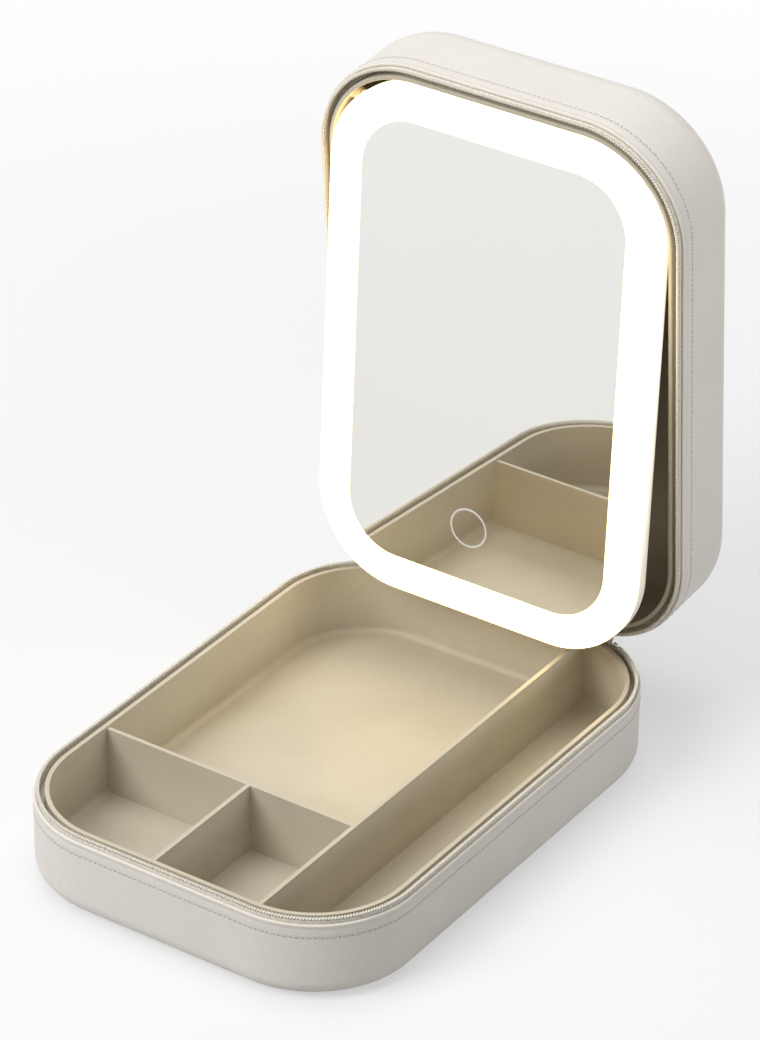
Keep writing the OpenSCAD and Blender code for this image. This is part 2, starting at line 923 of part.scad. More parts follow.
module pivot_pins() {
    color("#9a9a9c")
        panel_placed()
            both_sides()
                translate([pin_in_x, pivot_y, pivot_z])
                    rotate([0, 90, 0])
                        cylinder(r = pivot_r, h = pin_out_x - pin_in_x);
}

// Friction washers between the panel and the lid tray's bosses
module pivot_washers() {
    color("#777777")
        panel_placed()
            both_sides()
                translate([spot_x, pivot_y, pivot_z])
                    rotate([0, 90, 0])
                        ring(boss_r - 0.1, pivot_r + pin_gap, washer_t);
}

base_cover();
base_board();
base_tray();
base_zip_tape();
base_zip_teeth();
zip_stops();
zip_slider();
base_hinge_leaves();
hinge_pins();
base_rivets();
spine_flap();
lid_cover();
lid_board();
lid_tray();
lid_zip_tape();
lid_zip_teeth();
lid_hinge_leaves();
lid_rivets();
mirror_back_cover();
light_diffuser();
mirror_glass();
mirror_carrier();
mirror_foam();
led_strip();
led_chips();
battery_pack();
control_board();
board_chips();
port_circuit();
usb_port();
panel_leads();
touch_pad();
touch_ring();
panel_screws();
pivot_pins();
pivot_washers();
zip_pull();
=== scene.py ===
"""Looks for the portable vanity case: leather, stitching, zip coils, moulded trays and the lit mirror.

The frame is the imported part, in metres, with +Y to the back and +Z up. Paths and profiles are drawn in
millimetres, and MM turns them into metres. What belongs to the lid is drawn with the case shut, and LID
opens it to the rest pose.
"""
import math

import bmesh
import bpy
from mathutils import Matrix, Vector


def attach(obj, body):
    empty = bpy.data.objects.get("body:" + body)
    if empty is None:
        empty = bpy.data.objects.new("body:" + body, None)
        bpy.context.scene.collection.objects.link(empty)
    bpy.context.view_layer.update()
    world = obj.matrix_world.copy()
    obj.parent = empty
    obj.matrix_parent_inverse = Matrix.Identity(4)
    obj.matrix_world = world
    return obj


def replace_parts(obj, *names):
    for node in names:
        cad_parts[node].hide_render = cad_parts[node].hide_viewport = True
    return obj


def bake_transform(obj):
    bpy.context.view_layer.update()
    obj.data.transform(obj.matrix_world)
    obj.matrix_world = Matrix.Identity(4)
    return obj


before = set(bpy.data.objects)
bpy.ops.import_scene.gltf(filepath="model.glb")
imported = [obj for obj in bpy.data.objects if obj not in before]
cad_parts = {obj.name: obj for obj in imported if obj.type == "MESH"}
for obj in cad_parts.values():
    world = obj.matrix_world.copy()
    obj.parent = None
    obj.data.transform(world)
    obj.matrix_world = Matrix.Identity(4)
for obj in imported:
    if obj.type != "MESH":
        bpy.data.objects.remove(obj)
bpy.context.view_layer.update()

MM = 0.001

# Sizes repeated from the part's source, in millimetres and degrees
CASE_W, CASE_L, CORNER_R = 170.0, 243.0, 45.5
BASE_H, SEAM = 34.0, 7.2
HINGE_Y, HINGE_Z, OPEN = 118.7, 37.6, 85.5
SPINE_T = 0.8
COIL_END, LID_COIL_END = 66.0, 49.0
PIVOT_Y, PIVOT_Z, MIRROR_TILT, PANEL_FACE = -100.0, 44.1, 7.0, 37.9

LID_RIM = HINGE_Z + SEAM / 2
# Centres of the corner arcs, from the middle of the case
HALF_W, HALF_L = CASE_W / 2 - CORNER_R, CASE_L / 2 - CORNER_R


# ---------------------------------------------------------------- frames and paths

def turn_about(y, z, deg):
    """Rotation about an axis along X through (y, z), in millimetres."""
    at = Vector((0, y, z)) * MM
    return Matrix.Translation(at) @ Matrix.Rotation(math.radians(deg), 4, "X") @ Matrix.Translation(-at)


LID = turn_about(HINGE_Y, HINGE_Z, -OPEN)
TILT = turn_about(PIVOT_Y, PIVOT_Z, -MIRROR_TILT)
REST = Matrix.Identity(4)


def lid_twin(z):
    """Height in the shut lid that faces the height z in the base, across the hinge line."""
    return 2 * HINGE_Z - z


def upright(z):
    return Vector((0, 0, z))


def arc(cx, cy, r, a0, a1, step, least=3):
    """(x, y, normal's x, normal's y) along an arc from a0 to a1 degrees."""
    n = max(least, int(math.radians(abs(a1 - a0)) * r / step))
    angles = (math.radians(a0 + (a1 - a0) * i / n) for i in range(n + 1))
    return [(cx + r * math.cos(a), cy + r * math.sin(a), math.cos(a), math.sin(a)) for a in angles]


def line(x0, y0, x1, y1, nx, ny, step):
    """(x, y, normal's x, normal's y) along a straight run."""
    n = max(2, int(math.hypot(x1 - x0, y1 - y0) / step))
    return [(x0 + (x1 - x0) * i / n, y0 + (y1 - y0) * i / n, nx, ny) for i in range(n + 1)]


def as_path(points):
    """Turns points into a path: each has its place, its outward normal and the running length."""
    path, s = [], 0.0
    for i, (x, y, nx, ny) in enumerate(points):
        if i:
            s += math.hypot(x - points[i - 1][0], y - points[i - 1][1])
        path.append((Vector((x, y, 0)), Vector((nx, ny, 0)), s))
    return path


def outline(inset, step, end=None):
    """Path round the case at an inset from its outer face. It is open at the back and runs out to end
    degrees round the back corners, or goes all the way round where end is None."""
    r = CORNER_R - inset
    turn = 90 if end is None else end
    points = arc(-HALF_W, HALF_L, r, 180 - turn, 180, step)
    points += line(-HALF_W - r, HALF_L, -HALF_W - r, -HALF_L, -1, 0, step)[1:]
    points += arc(-HALF_W, -HALF_L, r, 180, 270, step)[1:]
    points += line(-HALF_W, -HALF_L - r, HALF_W, -HALF_L - r, 0, -1, step)[1:]
    points += arc(HALF_W, -HALF_L, r, -90, 0, step)[1:]
    points += line(HALF_W + r, -HALF_L, HALF_W + r, HALF_L, 1, 0, step)[1:]
    points += arc(HALF_W, HALF_L, r, 0, turn, step)[1:]
    if end is None:
        points += line(HALF_W, HALF_L + r, -HALF_W, HALF_L + r, 0, 1, step)[1:-1]
    return as_path(points)


def back_path(inset, a0, a1, step=1.5):
    """Path round the back from a0 to a1 degrees, where 90 degrees is the straight back."""
    r = CORNER_R - inset
    points = []
    if a0 < 90:
        points += arc(HALF_W, HALF_L, r, a0, min(90, a1), step, 2)
    if a0 < 90 < a1:
        points += line(HALF_W, HALF_L + r, -HALF_W, HALF_L + r, 0, 1, step)[1:-1]
    if a1 > 90:
        points += arc(-HALF_W, HALF_L, r, max(90, a0), a1, step, 2)
    return as_path(points)


def along(path, s):
    """Point, normal and direction at the running length s."""
    lo, hi = 0, len(path) - 1
    while hi - lo > 1:
        mid = (lo + hi) // 2
        if path[mid][2] <= s:
            lo = mid
        else:
            hi = mid
    a, b = path[lo], path[hi]
    t = (s - a[2]) / max(1e-9, b[2] - a[2])
    n = a[1].lerp(b[1], t).normalized()
    return a[0].lerp(b[0], t), n, Vector((-n.y, n.x, 0))


def circle(count):
    """Angles of count points round a circle."""
    return [2 * math.pi * k / count for k in range(count)]


# ---------------------------------------------------------------- mesh helpers

def add_object(name, data):
    ob = bpy.data.objects.new(name, data)
    bpy.context.scene.collection.objects.link(ob)
    return ob


def piece(name, bm, body, mat, smooth=True):
    """Makes a piece of the mesh. It rides on a body, or stays unattached where body is None."""
    me = bpy.data.meshes.new(name)
    bm.normal_update()
    bm.to_mesh(me)
    bm.free()
    ob = add_object(name, me)
    if smooth:
        me.shade_smooth()
    me.materials.append(mat)
    if body:
        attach(ob, body)
    return ob


def vert(bm, place, at):
    """Vertex at a point in millimetres, which place moves into the frame."""
    return bm.verts.new(place @ (at * MM))


def skin(bm, rings, closed=False):
    """Joins rings of vertices to a shell, capped at both ends unless the last ring meets the first."""
    m, k = len(rings), len(rings[0])
    for i in range(m if closed else m - 1):
        a, b = rings[i], rings[(i + 1) % m]
        for j in range(k):
            bm.faces.new((a[j], a[(j + 1) % k], b[(j + 1) % k], b[j]))
    if not closed:
        bm.faces.new(list(reversed(rings[0])))
        bm.faces.new(rings[-1])


def sweep(bm, path, profile, closed, place):
    """Sweeps a profile of (outwards, up) points along a path."""
    skin(bm, [[vert(bm, place, p + n * u + upright(v)) for u, v in profile] for p, n, _ in path], closed)


def tube(bm, pts, r, sides, place):
    """A round wire through pts."""
    rings, up = [], None
    for i, p in enumerate(pts):
        d = (pts[min(i + 1, len(pts) - 1)] - pts[max(i - 1, 0)]).normalized()
        if up is None:
            up = d.orthogonal().normalized()
        up = (up - d * up.dot(d)).normalized()
        side = d.cross(up)
        rings.append([vert(bm, place, p + (up * math.cos(a) + side * math.sin(a)) * r)
                      for a in circle(sides)])
    skin(bm, rings)


# ---------------------------------------------------------------- shader nodes

WHITE = (1, 1, 1, 1)


def grey(v):
    return (v, v, v, 1)


def lin(c, dim=1.0):
    """Scene-linear colour of an sRGB one in 0 to 255, made dimmer or brighter by a factor first."""
    def channel(v):
        v = min(255, v * dim) / 255.0
        return v / 12.92 if v <= 0.04045 else ((v + 0.055) / 1.055) ** 2.4
    return (channel(c[0]), channel(c[1]), channel(c[2]), 1.0)


def add(tree, kind, inputs=None, **props):
    """Adds a shader node. inputs gives each socket, by name or number, its value or its source."""
    n = tree.nodes.new("ShaderNode" + kind)
    for k, v in props.items():
        setattr(n, k, v)
    for k, v in (inputs or {}).items():
        if isinstance(v, bpy.types.NodeSocket):
            tree.links.new(v, n.inputs[k])
        else:
            n.inputs[k].default_value = v
    return n


def seen_by(tree, *rays):
    """Socket that is 1 for the named kinds of ray, else 0."""
    path = add(tree, "LightPath")
    fac = path.outputs[rays[0]]
    for ray in rays[1:]:
        fac = add(tree, "Math", {0: fac, 1: path.outputs[ray]}, operation="MAXIMUM").outputs[0]
    return fac


class Mat:
    """A procedural material on one Principled BSDF."""

    def __init__(self, name, rough=0.5, metal=0.0, **sockets):
        self.m = bpy.data.materials.new(name)
        self.m.use_nodes = True
        self.t = self.m.node_tree
        self.b = self.t.nodes["Principled BSDF"]
        self.b.inputs["Roughness"].default_value = rough
        self.b.inputs["Metallic"].default_value = metal
        for k, v in sockets.items():
            self.b.inputs[k.replace("_", " ")].default_value = v
        self.co = self.node("TexCoord").outputs["Object"]
        self.height = None

    def node(self, kind, inputs=None, **props):
        return add(self.t, kind, inputs, **props)

    def math(self, op, a, b=0.0, clamp=False):
        return self.node("Math", {0: a, 1: b}, operation=op, use_clamp=clamp).outputs[0]

    def noise(self, scale, detail=3.0, rough=0.55):
        return self.node("TexNoise", {"Vector": self.co, "Scale": scale, "Detail": detail,
                                      "Roughness": rough}).outputs[0]

    def cells(self, scale, randomness=1.0):
        """Distance to the edges of a cell pattern."""
        return self.node("TexVoronoi", {"Vector": self.co, "Scale": scale, "Randomness": randomness},
                         feature="DISTANCE_TO_EDGE").outputs["Distance"]

    def ramp(self, fac, lo, hi, a=0.0, b=1.0):
        """Maps lo to hi onto a to b, clamped."""
        return self.node("MapRange", {"Value": fac, "From Min": lo, "From Max": hi, "To Min": a,
                                      "To Max": b}).outputs[0]

    def mix(self, fac, a, b):
        return self.node("Mix", {0: fac, 6: a, 7: b}, data_type="RGBA").outputs[2]

    def mottle(self, scale, detail, lo, hi, c0, c1):
        """Two colours in soft patches."""
        return self.mix(self.ramp(self.noise(scale, detail), lo, hi), c0, c1)

    def feed(self, socket, source):
        self.t.links.new(source, self.b.inputs[socket])

    def bump(self, height, distance, strength=1.0):
        """Adds a layer of relief. distance is in metres."""
        n = self.node("Bump", {"Height": height, "Distance": distance, "Strength": strength})
        if self.height:
            self.t.links.new(self.height, n.inputs["Normal"])
        self.height = n.outputs[0]
        self.feed("Normal", self.height)

    def height_in(self, place, level=0.0):
        """Height over a level in metres, as it was before place turned the piece."""
        up = place.inverted()[2]
        row = self.node("VectorMath", {0: self.co, 1: tuple(up[:3])}, operation="DOT_PRODUCT")
        return self.math("ADD", row.outputs["Value"], up[3] - level)


# ---------------------------------------------------------------- materials

# How far the stitched line and the pressed line lie from the rim
STITCH_DROP, CREASE_DROP = 5.2, 1.3
# How far from a line its groove reaches, and the groove's depth, in metres
CREASE_REACH, CREASE_DEPTH = 0.0011, 0.0003


def seams(rim, way):
    """Heights of the two lines by a rim. way is 1 where they lie above it and -1 where below."""
    return rim + way * STITCH_DROP, rim + way * CREASE_DROP


def leather(name, c0, c1, lines=(), place=REST):
    """Smooth coated leather with a fine grain, slight mottling and a pressed groove along each line, painted
    a little darker as the groove's shade.
    lines holds heights in the half's own closed frame."""
    m = Mat(name, rough=0.5, Specular_IOR_Level=0.45, Coat_Weight=0.08, Coat_Roughness=0.35,
            Sheen_Weight=0.08, Sheen_Roughness=0.5)
    c = m.mix(m.ramp(m.noise(16, 4, 0.6), 0.35, 0.68), lin(c0), lin(c1))
    c = m.mix(m.ramp(m.noise(420, 5, 0.65), 0.38, 0.7, 0.0, 0.22), c, lin(c0, 0.9))
    grain = m.cells(1150)
    m.bump(m.noise(34, 3, 0.5), 0.00035, 0.35)
    m.bump(m.ramp(m.cells(330, 0.9), 0.0, 0.18), 0.00005, 0.35)
    m.bump(m.ramp(grain, 0.0, 0.2), 0.00003, 0.5)
    m.bump(m.noise(2600, 2, 0.6), 0.00002, 0.35)
    if lines:
        h = m.height_in(place)
        near = None
        for z in lines:
            away = m.math("ABSOLUTE", m.math("SUBTRACT", h, z * MM))
            groove = m.ramp(away, 0.0, CREASE_REACH)
            near = groove if near is None else m.math("MINIMUM", near, groove)
        m.bump(near, CREASE_DEPTH, 0.6)
        # Painted shade: each groove is mixed a little towards a darker leather
        c = m.mix(m.ramp(near, 0.0, 1.0, 0.1, 0.0), c, lin(c0, 0.8))
    m.feed("Base Color", c)
    pits = m.ramp(grain, 0.0, 0.2, 0.16, 0.0)
    m.feed("Roughness", m.ramp(m.math("ADD", m.noise(60, 3), pits), 0.3, 0.9, 0.42, 0.60))
    return m.m


def plastic(name, c0, c1, rough=(0.42, 0.55), grit=1400, depth=0.00002):
    """Moulded or cut matter: faint mottling, a fine speck and a surface grit."""
    m = Mat(name, Specular_IOR_Level=0.45)
    c = m.mottle(22, 3, 0.35, 0.65, lin(c0), lin(c1))
    m.feed("Base Color", m.mix(m.ramp(m.noise(900, 2), 0.4, 0.65, 0.0, 0.12), c, lin(c0, 0.86)))
    m.feed("Roughness", m.ramp(m.noise(240, 4), 0.3, 0.7, *rough))
    m.bump(m.noise(26, 2), 0.00012, 0.25)
    m.bump(m.noise(grit, 3, 0.6), depth, 0.6)
    return m.m


def metal(name, c0, c1, rough=(0.22, 0.36)):
    """Satin metal, paler on its convex edges."""
    m = Mat(name, metal=1.0)
    g = m.noise(900, 4, 0.6)
    c = m.mix(m.ramp(g, 0.35, 0.65), lin(c0), lin(c1))
    # Paler where the surface is convex, by pointiness
    convex_edge = m.ramp(m.node("NewGeometry").outputs["Pointiness"], 0.5, 0.56)
    m.feed("Base Color", m.mix(convex_edge, c, lin(c1, 1.08)))
    m.feed("Roughness", m.ramp(m.noise(140, 3), 0.3, 0.7, *rough))
    m.bump(g, 0.00001, 0.4)
    return m.m


def weave(name, c0, c1, pitch=0.0009):
    """Woven tape: a fine herringbone from two crossed waves, with the pitch in metres."""
    m = Mat(name, rough=0.85, Sheen_Weight=0.25, Sheen_Roughness=0.4, Specular_IOR_Level=0.25)
    slant = math.radians(45)

    def wave(turn):
        co = m.node("Mapping", {"Vector": m.co, "Rotation": turn}).outputs[0]
        return m.node("TexWave", {"Vector": co, "Scale": math.pi / (pitch * 20), "Distortion": 0.6,
                                  "Detail": 1.0, "Detail Scale": 2.0}).outputs["Fac"]
    g = m.math("MAXIMUM", wave((0, 0, slant)), wave((0, slant, 0)))
    m.feed("Base Color", m.mix(m.ramp(m.math("MULTIPLY", g, m.noise(600, 2)), 0.1, 0.6), lin(c1), lin(c0)))
    m.feed("Roughness", m.ramp(m.noise(500, 2), 0.3, 0.7, 0.78, 0.92))
    m.bump(g, 0.00008, 0.7)
    return m.m


def lamp(name, glow, strength, c):
    """Opal or phosphor that gives light of the colour glow."""
    m = Mat(name, rough=0.45, Emission_Color=(*glow, 1.0), Emission_Strength=strength)
    m.feed("Base Color", m.mottle(40, 2, 0.35, 0.65, lin(c), lin(c, 0.97)))
    m.bump(m.noise(1200, 2), 0.00001, 0.4)
    return m.m


# Depths behind the panel's face where the shell's glow ends and where it is full, in metres
GLOW_END, GLOW_FULL = 0.0098, 0.003
# Heights between which the glow grows stronger up the open lid, in metres
GLOW_FOOT, GLOW_TOP = 0.07, 0.2


def painted_glow_shell(name, c0, c1):
    """The pale shell round the diffuser, with a painted glow on its side: full near the front, fading to the
    back and growing stronger up the open lid.
    """
    m = Mat(name, Specular_IOR_Level=0.45, Emission_Color=(1.0, 0.86, 0.62, 1.0))
    m.feed("Base Color", m.mottle(22, 3, 0.35, 0.65, lin(c0), lin(c1)))
    m.feed("Roughness", m.ramp(m.noise(240, 4), 0.3, 0.7, 0.36, 0.48))
    m.bump(m.noise(1400, 3, 0.6), 0.00002, 0.6)
    # The shell is no lamp: its emission is painted glow, set by depth behind the panel's face and by height
    deep = m.height_in(LID @ TILT, PANEL_FACE * MM)
    glow = m.math("POWER", m.ramp(deep, GLOW_END, GLOW_FULL), 1.3, True)
    up = m.node("SeparateXYZ", {0: m.co}).outputs[2]
    m.feed("Emission Strength", m.math("MULTIPLY", glow, m.ramp(up, GLOW_FOOT, GLOW_TOP, 0.15, 2.2)))
    return m.m


def mirror_glass(name):
    """Silvered glass with very faint smears."""
    m = Mat(name, metal=1.0, rough=0.015)
    m.feed("Base Color", m.mottle(9, 2, 0.3, 0.7, (0.825, 0.817, 0.785, 1), (0.835, 0.827, 0.795, 1)))
    m.feed("Roughness", m.ramp(m.noise(30, 3), 0.45, 0.8, 0.012, 0.03))
    return m.m


LEATHER = ((224, 219, 211), (220, 214, 205))
MATS = {
    "base_leather": leather("vanity_leather_base", *LEATHER, seams(BASE_H, -1)),
    "lid_leather": leather("vanity_leather_lid", *LEATHER, seams(LID_RIM, 1), LID),
    "leather_edge": leather("vanity_leather_edge", (228, 222, 212), (222, 216, 205)),
    "tray": plastic("vanity_tray_plastic", (200, 192, 174), (193, 185, 165), (0.30, 0.40)),
    "tape": weave("vanity_zip_tape_weave", (230, 225, 214), (212, 206, 193)),
    "coil": plastic("vanity_zip_coil_nylon", (236, 232, 222), (230, 225, 213), (0.3, 0.42), 1800),
    # The thread is darker than the leather: partly its own colour, partly painted shade of the stitch
    "thread": plastic("vanity_stitch_thread", (196, 189, 179), (186, 179, 168), (0.55, 0.7), 4000, 0.00003),
    # Needle holes: dark caps of painted shade
    "needle_hole_shade": plastic("vanity_needle_holes", (132, 124, 114), (120, 112, 102), (0.7, 0.85)),
    "steel": metal("vanity_steel", (196, 194, 190), (214, 212, 208)),
    "zip_metal": metal("vanity_zip_metal", (198, 190, 176), (222, 214, 198), (0.2, 0.32)),
    "carrier": plastic("vanity_carrier_plastic", (205, 205, 205), (190, 190, 190)),
    "board": plastic("vanity_grey_board", (150, 140, 124), (132, 121, 104), (0.8, 0.95), 700, 0.00008),
    "foam": plastic("vanity_foam", (90, 90, 92), (70, 70, 72), (0.85, 0.95), 900, 0.0001),
    "circuit": plastic("vanity_circuit_mask", (24, 92, 60), (18, 76, 50), (0.3, 0.4)),
    "chip": plastic("vanity_chip_epoxy", (32, 32, 34), (24, 24, 26), (0.4, 0.55)),
    "battery": plastic("vanity_battery_wrap", (70, 96, 150), (60, 84, 136), (0.25, 0.35)),
    "lead": plastic("vanity_lead_sleeve", (176, 40, 36), (150, 34, 30), (0.4, 0.5)),
    "copper": metal("vanity_copper_foil", (184, 115, 80), (200, 130, 92)),
    "ring_ink": plastic("vanity_ring_ink", (232, 230, 226), (222, 220, 216), (0.4, 0.5)),
    "led_strip": plastic("vanity_led_strip", (226, 224, 216), (214, 212, 204)),
    "diffuser": lamp("vanity_lit_diffuser", (1.0, 0.70, 0.27), 3.9, (250, 246, 236)),
    "led": lamp("vanity_led_phosphor", (1.0, 0.72, 0.38), 2.0, (250, 220, 140)),
    "panel": painted_glow_shell("vanity_panel_shell", (236, 231, 221), (230, 225, 214)),
    "mirror": mirror_glass("vanity_silvered_mirror"),
}

DRESS = {
    "base_cover": "base_leather", "lid_cover": "lid_leather", "spine_flap": "leather_edge",
    "base_board": "board", "lid_board": "board", "base_tray": "tray", "lid_tray": "tray",
    "base_zip_tape": "tape", "lid_zip_tape": "tape", "base_zip_teeth": "coil", "lid_zip_teeth": "coil",
    "zip_stops": "zip_metal", "zip_slider": "zip_metal", "zip_pull": "zip_metal",
    "base_hinge_leaves": "steel", "lid_hinge_leaves": "steel", "hinge_pins": "steel",
    "base_rivets": "steel", "lid_rivets": "steel", "pivot_pins": "steel", "pivot_washers": "steel",
    "panel_screws": "steel", "mirror_back_cover": "panel", "light_diffuser": "diffuser",
    "mirror_glass": "mirror", "mirror_carrier": "carrier", "mirror_foam": "foam", "led_strip": "led_strip",
    "led_chips": "led", "battery_pack": "battery", "control_board": "circuit", "board_chips": "chip",
    "port_circuit": "circuit", "usb_port": "steel", "panel_leads": "lead", "touch_pad": "copper",
    "touch_ring": "ring_ink",
}
# Widest bevel on each node that has one, in millimetres. It narrows where edges lie close
SOFT = {"base_cover": 0.45, "lid_cover": 0.45, "base_tray": 0.45, "lid_tray": 0.4, "mirror_back_cover": 0.4,
        "light_diffuser": 0.5, "base_zip_tape": 0.2, "lid_zip_tape": 0.2, "zip_pull": 0.3,
        "zip_slider": 0.25, "mirror_glass": 0.2, "spine_flap": 0.2}
# Nodes on which a second weld takes out the faces without area that the bevel leaves. The base tray has
# none, because it would blot the tray's shading
WELD_AGAIN = ("mirror_back_cover", "light_diffuser")
# Distances within which the first and the second weld join points, in metres
WELD, BEVEL_WELD = 1e-6, 1e-5
SHARP_FROM = math.radians(40)


def weld(ob, name, distance):
    ob.modifiers.new(name, "WELD").merge_threshold = distance


def soften(ob, width):
    bevel = ob.modifiers.new("edge", "BEVEL")
    bevel.width = width * MM
    bevel.segments = 3
    bevel.limit_method = "ANGLE"
    bevel.angle_limit = SHARP_FROM
    bevel.miter_outer = "MITER_ARC"


for name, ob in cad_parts.items():
    ob.data.materials.clear()
    ob.data.materials.append(MATS[DRESS[name]])
    for p in ob.data.polygons:
        p.material_index = 0
        p.use_smooth = True
    weld(ob, "weld", WELD)
    if name in SOFT:
        soften(ob, SOFT[name])
    if name in WELD_AGAIN:
        weld(ob, "close", BEVEL_WELD)
    shading = ob.modifiers.new("normals", "WEIGHTED_NORMAL")
    shading.keep_sharp = True
    shading.weight = 80


# ---------------------------------------------------------------- zip coils

# The coil's middle from the case's outer face, its half width, and its foot and top in the base
COIL_IN, COIL_HALF_W = 1.75, 0.8
COIL_LOW, COIL_HIGH = 35.9, 37.5
COIL_PITCH, WIRE_R, CORE_R = 1.2, 0.25, 0.33
# How far the wire sways along the tape within a loop
WIRE_SWAY = 0.16
POINTS_PER_LOOP = 10


def coil(name, node, body, low, high, end, place):
    """A nylon coil along the tape's edge: one wire wound into flat loops round a sewn core."""
    path = outline(COIL_IN, step=0.6, end=end)
    total = path[-1][2]
    half_w = COIL_HALF_W - WIRE_R
    half_h = (high - low) / 2 - WIRE_R
    mid = (high + low) / 2
    turns = int(total / COIL_PITCH)
    wire = []
    for i in range(turns * POINTS_PER_LOOP + 1):
        t = i / POINTS_PER_LOOP
        p, n, d = along(path, t * total / turns)
        a = 2 * math.pi * t
        wire.append(p + n * (half_w * math.cos(a)) + upright(mid + half_h * math.sin(a))
                    + d * (WIRE_SWAY * math.sin(2 * a)))
    bm = bmesh.new()
    tube(bm, wire, WIRE_R, 6, place)
    tube(bm, [p + upright(mid) for p, _, _ in path[::2]], CORE_R, 8, place)
    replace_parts(piece(name, bm, body, MATS["coil"]), node)


coil("base_coil_loops", "base_zip_teeth", "base", COIL_LOW, COIL_HIGH, COIL_END, REST)
coil("lid_coil_loops", "lid_zip_teeth", "lid", lid_twin(COIL_HIGH), lid_twin(COIL_LOW), LID_COIL_END, LID)


# ---------------------------------------------------------------- folded leather edges

# The roll's radius, its middle from the outer face and beyond the rim, and how deep its flat foot lies
ROLL_R, ROLL_IN, ROLL_PROUD, ROLL_SUNK = 0.74, 0.63, 0.02, 0.45
ROLL_POINTS = 14


def folded_edge(name, body, height, way, place):
    """The leather turned over the board's edge: a soft roll with a flat foot sunk into the rim."""
    profile = [(-ROLL_IN + ROLL_R * math.cos(a), height + way * max(ROLL_R * math.sin(a), -ROLL_SUNK))
               for a in circle(ROLL_POINTS)]
    if way < 0:
        profile.reverse()
    bm = bmesh.new()
    sweep(bm, outline(0.0, step=1.2), profile, True, place)
    piece(name, bm, body, MATS["leather_edge"])


folded_edge("base_folded_edge", "base", BASE_H + ROLL_PROUD, 1, REST)
folded_edge("lid_folded_edge", "lid", LID_RIM - ROLL_PROUD, -1, LID)


# ---------------------------------------------------------------- lining between board and tray

# Section of the lining in the base, its top and then its underside: (outwards from the outer face, height)
LINING = [(-2.1, 30.75), (-2.6, 30.5), (-3.3, 30.3), (-4.0, 30.35), (-4.5, 30.7),
          (-4.5, 30.35), (-4.0, 30.08), (-3.3, 30.04), (-2.6, 30.1), (-2.1, 30.35)]
# How far it runs round the back corners, in degrees
LINING_END = 80


def gap_lining(name, body, profile, place):
    """The tape's sewn edge, laid over the board and against the tray: it closes the slot round the tray."""
    bm = bmesh.new()
    sweep(bm, outline(0.0, step=1.2, end=LINING_END), profile, False, place)
    bmesh.ops.recalc_face_normals(bm, faces=bm.faces)
    piece(name, bm, body, MATS["tape"])


gap_lining("base_gap_lining", "base", LINING, REST)
gap_lining("lid_gap_lining", "lid", [(u, lid_twin(z)) for u, z in reversed(LINING)], LID)


# ---------------------------------------------------------------- strips drawn bent across the hinge line

# Rows of points in what is tucked in at each end, and in half the free height
TUCK_ROWS, FREE_ROWS = 3, 8
# Share of the thickness that is left at a strip's two ends
THIN_END = 0.45
# Halvings in the search for a point's share of the turn
HALVINGS = 24


def bending_strip(name, path, reach, leg, bow, thick, span, mat):
    """A strip across the hinge line that follows the base below and the lid above. It is drawn shut, and
    each point is turned open by its own share of the lid's turn.
    reach is half its free height, leg what is tucked in at each end, bow how far it stands out in the
    middle, and span half the height over which that share grows from none to the whole turn."""
    half = math.radians(OPEN / 2)
    d = Vector((0, math.sin(half), math.cos(half)))
    axis = Vector((0, HINGE_Y, HINGE_Z))

    def turned(v, share):
        return Matrix.Rotation(-2 * half * share, 3, "X") @ v

    def share_at(v):
        t = min(1.0, max(0.0, (v.dot(d) + span) / (2 * span)))
        return t * t * (3 - 2 * t)

    def opened(v):
        """Turns v by the share that share_at gives to the place where it comes to lie."""
        lo, hi = 0.0, 1.0
        for _ in range(HALVINGS):
            share = (lo + hi) / 2
            if share_at(turned(v, share)) > share:
                lo = share
            else:
                hi = share
        return turned(v, (lo + hi) / 2)

    tuck = [-reach - leg * (1 - i / TUCK_ROWS) for i in range(TUCK_ROWS)]
    free = [reach * (i / FREE_ROWS - 1) for i in range(2 * FREE_ROWS + 1)]
    levels = tuck + free + [-z for z in reversed(tuck)]
    section = [(z, 1) for z in levels] + [(z, -1) for z in reversed(levels)]
    bm = bmesh.new()
    rings = []
    for i, (p, n, _) in enumerate(path):
        half_t = thick / 2 * (THIN_END if i in (0, len(path) - 1) else 1.0)
        ring = []
        for z, side in section:
            out = bow * max(0.0, 1 - (z / reach) ** 2) + side * half_t
            v = p + n * out - Vector((0, HINGE_Y, -z))
            if abs(z) < reach:
                v = opened(v)
            elif z > 0:
                v = turned(v, 1)
            ring.append(vert(bm, REST, axis + v))
        rings.append(ring)
    skin(bm, rings)
    bmesh.ops.recalc_face_normals(bm, faces=bm.faces)
    ob = piece(name, bm, None, mat)
    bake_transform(ob)
    return ob


leather_spine = bending_strip("leather_spine", back_path(1.75, 86, 94), reach=3.4, leg=4.2, bow=0.9,
                              thick=SPINE_T, span=1.78, mat=MATS["leather_edge"])
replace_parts(leather_spine, "spine_flap")
for side, (a0, a1) in (("right", (71, 85.5)), ("left", (94.5, 109))):
    bending_strip(side + "_zip_end_web", back_path(2.4, a0, a1), reach=1.7, leg=2.2, bow=0.6,
                  thick=0.4, span=0.9, mat=MATS["tape"])


# ---------------------------------------------------------------- stitched seams

STITCH_PITCH, STITCH_L, THREAD_R = 4.7, 3.1, 0.4
# How deep a stitch lies, how much deeper its ends go, and how far it slants
STITCH_SUNK, STITCH_DIP, STITCH_SLANT = 0.2, 0.42, 0.35
# A needle hole, capped with a dark patch of painted shade: its half length and half height, how far its rim
# stands proud, and its depth
HOLE_HALF_L, HOLE_HALF_H, HOLE_PROUD, HOLE_DEPTH = 0.42, 0.26, 0.03, 0.4
STITCH_POINTS, HOLE_POINTS = 7, 10


